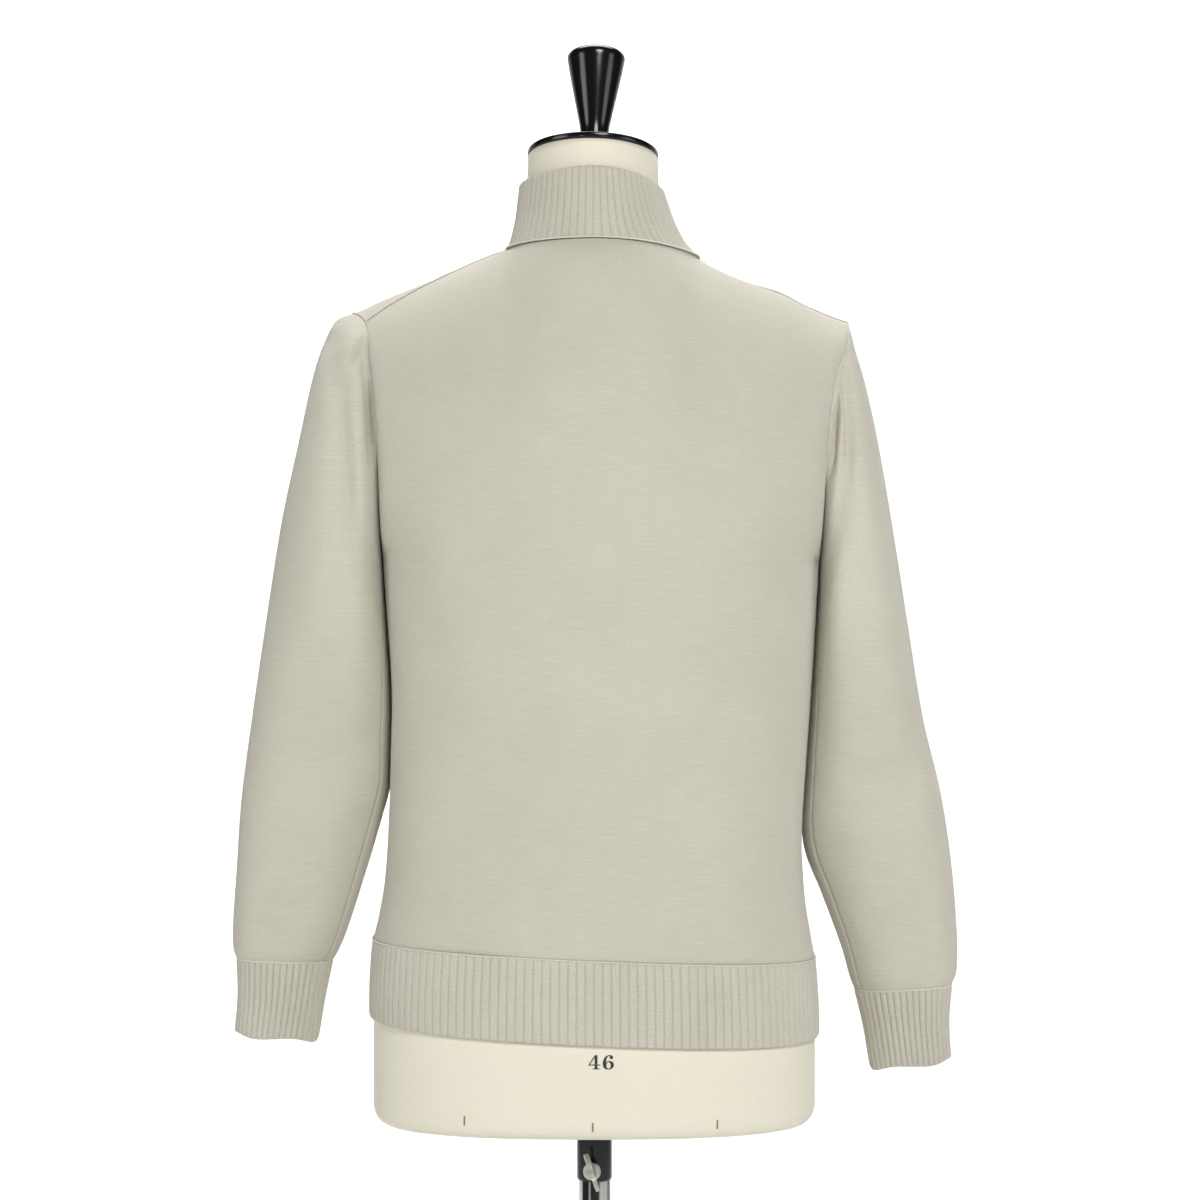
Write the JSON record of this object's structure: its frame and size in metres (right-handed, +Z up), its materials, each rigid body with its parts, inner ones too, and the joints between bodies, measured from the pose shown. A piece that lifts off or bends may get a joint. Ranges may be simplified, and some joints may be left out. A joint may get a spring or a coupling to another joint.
{
  "type": "cardigan on a dress form",
  "caption": "Closed fine-knit cardigan with a high ribbed collar and ribbed hem, cuffs and front bands, resting on a padded tailor's dress form on a pole stand.",
  "frame": {"origin": "centre of the underside of the round stand base, on the floor", "axes": "+Z up, -Y the wearer's front, +Y the wearer's back, +X the wearer's left"},
  "size_m": [0.6043, 0.34, 1.6955],
  "materials": {
    "jersey": "matt fine-gauge wool jersey with a slight heather",
    "rib": "matt wool rib, a little darker than the jersey",
    "form_cotton": "tight cream cotton cover",
    "black_lacquer": "black gloss lacquer on turned wood",
    "black_iron": "black satin paint on cast iron",
    "chrome": "polished chrome plate",
    "button_horn": "horn-coloured, softly polished"
  },
  "bodies": {
    "root": {"back": "jersey", "front_left": "jersey", "front_right": "jersey", "sleeve_left": "jersey", "sleeve_right": "jersey", "cuff_left": "rib", "cuff_right": "rib", "collar": "rib", "hem_back": "rib", "hem_front_left": "rib", "hem_front_right": "rib", "band_left": "rib", "band_right": "rib", "button_1": "button_horn", "button_2": "button_horn", "button_3": "button_horn", "button_4": "button_horn", "button_5": "button_horn", "button_6": "button_horn", "button_7": "button_horn", "form_torso": "form_cotton", "neck_cap": "black_lacquer", "neck_knob": "black_lacquer", "socket": "black_lacquer", "thumbscrew": "chrome", "thumbscrew_wing": "chrome", "pole": "chrome", "base": "black_iron"}
  },
  "joints": []
}
